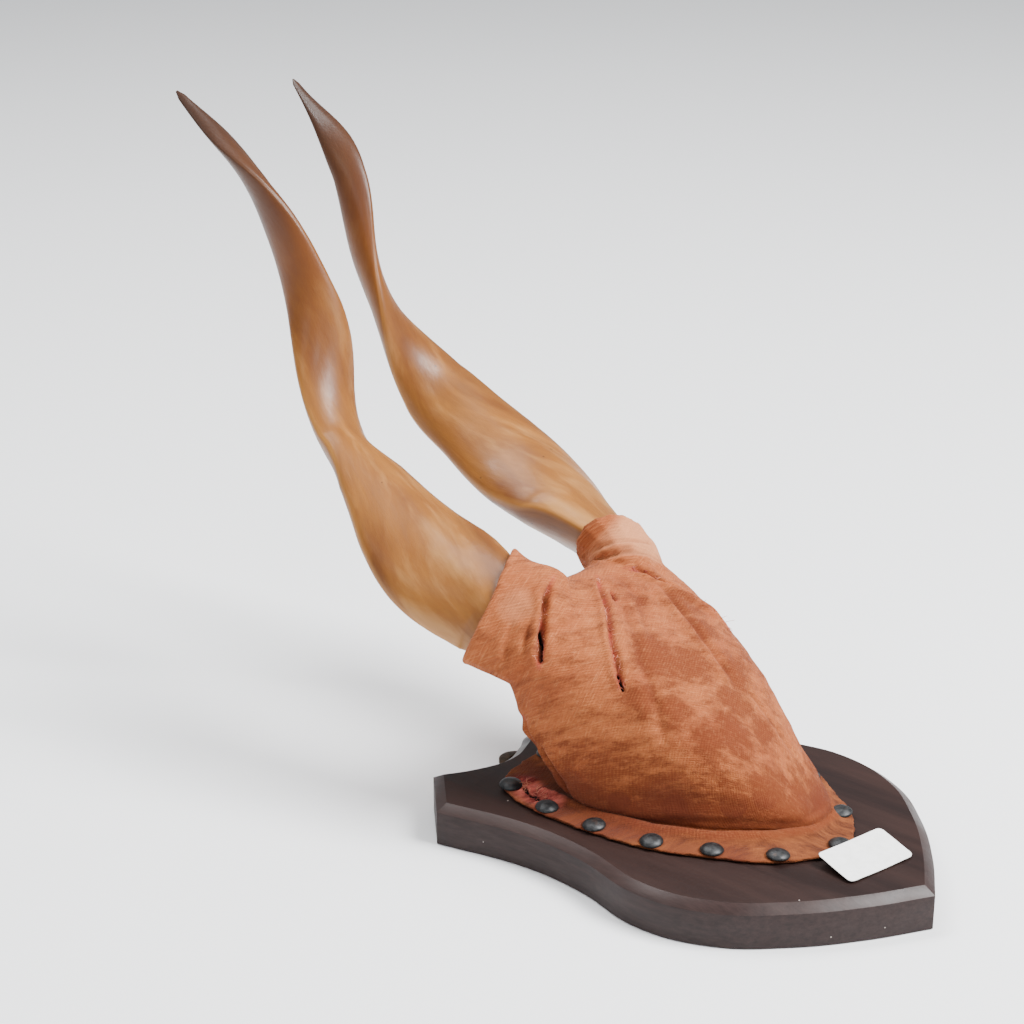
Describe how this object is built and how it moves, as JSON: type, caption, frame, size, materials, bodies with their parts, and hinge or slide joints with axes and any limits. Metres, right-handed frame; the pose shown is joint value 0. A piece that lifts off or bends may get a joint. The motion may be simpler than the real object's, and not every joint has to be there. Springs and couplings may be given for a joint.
{
  "type": "mounted goat horns",
  "caption": "Pair of twisted goat horns on a velvet-covered form, nailed to a dark shield-shaped wooden board.",
  "frame": {"origin": "middle of the board's flat back face, on the surface that it lies on", "axes": "+Y towards the shield's top, the side the horns lean to, +Z away from the board's back, +X to the right of the shield's front"},
  "size_m": [0.196, 0.4991, 0.366],
  "materials": {
    "dark_wood": "satin stain, worn along its edges",
    "velvet": "worn faded velvet",
    "horn": "polished horn",
    "dark_iron": "satin",
    "old_brass": "tarnished",
    "paper": "matte"
  },
  "bodies": {
    "root": {"plaque": "dark_wood", "velvet_cover": "velvet", "left_horn": "horn", "right_horn": "horn", "nail_01": "dark_iron", "nail_02": "dark_iron", "nail_03": "dark_iron", "nail_04": "dark_iron", "nail_05": "dark_iron", "nail_06": "dark_iron", "nail_07": "dark_iron", "nail_08": "dark_iron", "nail_09": "dark_iron", "nail_10": "dark_iron", "nail_11": "dark_iron", "nail_12": "dark_iron", "nail_13": "dark_iron", "nail_14": "dark_iron", "nail_15": "dark_iron", "hanger_plate": "old_brass", "hanger_screw_1": "old_brass", "hanger_screw_2": "old_brass", "label": "paper"}
  },
  "joints": []
}
